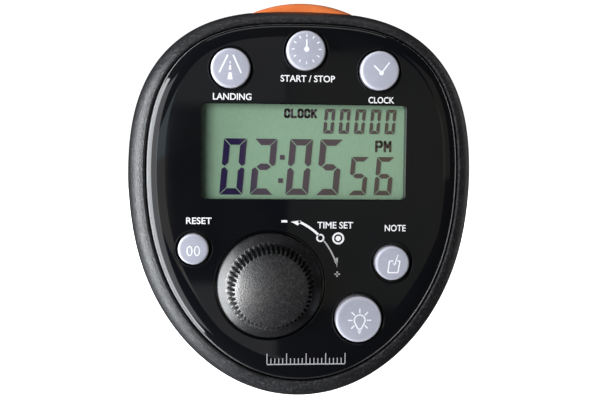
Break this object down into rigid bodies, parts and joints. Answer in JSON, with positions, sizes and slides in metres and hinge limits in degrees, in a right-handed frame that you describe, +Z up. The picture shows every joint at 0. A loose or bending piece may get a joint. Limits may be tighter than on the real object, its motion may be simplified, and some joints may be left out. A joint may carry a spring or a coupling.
{
  "type": "hand-held digital flight timer",
  "caption": "Egg-shaped hand-held timer with a display, round keys, a fluted push dial, an orange start/stop bar, a battery bay and a spring clip on the back.",
  "frame": {"origin": "on the flat back of the case, on its centre line, just above the battery door", "axes": "+X to the reader's right, +Z up the object, +Y out of the back; the face looks along -Y"},
  "size_m": [0.081, 0.0434, 0.0923],
  "materials": {
    "casing": "fine-grained matte black",
    "panel": "high-gloss black",
    "window": "clear",
    "lcd": "grey-green display",
    "white_plastic": "satin",
    "black_plastic": "satin",
    "key": "satin translucent lilac grey",
    "orange": "satin orange",
    "dial": "matt black",
    "board": "green solder mask",
    "rubber": "matt",
    "steel": "plated",
    "cell": "printed sleeve"
  },
  "bodies": {
    "case": {"front_casing": "casing", "rear_casing": "casing", "casing_seal": "rubber", "casing_screw_1": "steel", "casing_screw_2": "steel", "casing_screw_3": "steel", "casing_screw_4": "steel", "face_panel": "panel", "display_window": "window", "lcd_glass": "lcd", "lcd_frame": "black_plastic", "backlight_plate": "white_plastic", "backlight_led_left": "white_plastic", "backlight_led_right": "white_plastic", "zebra_strip_upper": "rubber", "zebra_strip_lower": "rubber", "main_board": "board", "board_screw_1": "steel", "board_screw_2": "steel", "board_screw_3": "steel", "controller_chip": "black_plastic", "clock_crystal": "steel", "smoothing_capacitor": "black_plastic", "buzzer": "black_plastic", "landing_switch": "black_plastic", "chrono_switch": "black_plastic", "clock_switch": "black_plastic", "reset_switch": "black_plastic", "note_switch": "black_plastic", "light_switch": "black_plastic", "start_stop_switch": "black_plastic", "encoder_bushing": "steel", "encoder_body": "black_plastic", "battery_1": "cell", "battery_2": "cell", "battery_spring_left": "steel", "battery_spring_right": "steel", "battery_contact_negative": "steel", "battery_contact_positive": "steel", "battery_bridge": "steel", "clip_pin": "steel", "clip_spring": "steel"},
    "landing_button": {"landing_key": "key"},
    "chrono_button": {"chrono_key": "key"},
    "clock_button": {"clock_key": "key"},
    "reset_button": {"reset_key": "key"},
    "note_button": {"note_key": "key"},
    "light_button": {"light_key": "key"},
    "start_stop_button": {"start_stop_bar": "orange"},
    "dial_plunger": {"encoder_plunger": "white_plastic"},
    "dial": {"dial_knob": "dial", "encoder_shaft": "steel"},
    "door": {"battery_door": "casing"},
    "clip": {"clip_lever": "casing", "clip_pad": "rubber"}
  },
  "joints": [
    {"name": "landing_press", "type": "slide", "parent": "case", "child": "landing_button", "axis": [0, 1, 0], "range_m": [0, 0.0007], "stiffness_N_per_m": 600, "springref_m": -0.0005},
    {"name": "chrono_press", "type": "slide", "parent": "case", "child": "chrono_button", "axis": [0, 1, 0], "range_m": [0, 0.0007], "stiffness_N_per_m": 600, "springref_m": -0.0005},
    {"name": "clock_press", "type": "slide", "parent": "case", "child": "clock_button", "axis": [0, 1, 0], "range_m": [0, 0.0007], "stiffness_N_per_m": 600, "springref_m": -0.0005},
    {"name": "reset_press", "type": "slide", "parent": "case", "child": "reset_button", "axis": [0, 1, 0], "range_m": [0, 0.0007], "stiffness_N_per_m": 600, "springref_m": -0.0005},
    {"name": "note_press", "type": "slide", "parent": "case", "child": "note_button", "axis": [0, 1, 0], "range_m": [0, 0.0007], "stiffness_N_per_m": 600, "springref_m": -0.0005},
    {"name": "light_press", "type": "slide", "parent": "case", "child": "light_button", "axis": [0, 1, 0], "range_m": [0, 0.0007], "stiffness_N_per_m": 600, "springref_m": -0.0005},
    {"name": "start_stop_press", "type": "slide", "parent": "case", "child": "start_stop_button", "axis": [0, 0, -1], "range_m": [0, 0.001], "stiffness_N_per_m": 800, "springref_m": -0.0006},
    {"name": "dial_press", "type": "slide", "parent": "case", "child": "dial_plunger", "axis": [0, 1, 0], "range_m": [0, 0.0006], "stiffness_N_per_m": 900, "springref_m": -0.0006},
    {"name": "dial_turn", "type": "hinge", "parent": "dial_plunger", "child": "dial", "pos_m": [-0.0076, -0.026, -0.019], "axis": [0, -1, 0], "continuous": true},
    {"name": "battery_door_swing", "type": "hinge", "parent": "case", "child": "door", "pos_m": [0, -0.00085, -0.0032], "axis": [1, 0, 0], "range_deg": [0, 60]},
    {"name": "clip_squeeze", "type": "hinge", "parent": "case", "child": "clip", "pos_m": [0, 0.0032, 0.024], "axis": [1, 0, 0], "range_deg": [0, 16], "stiffness_Nm_per_rad": 0.3, "springref_deg": -25.78, "deforming": ["clip_spring"]}
  ]
}
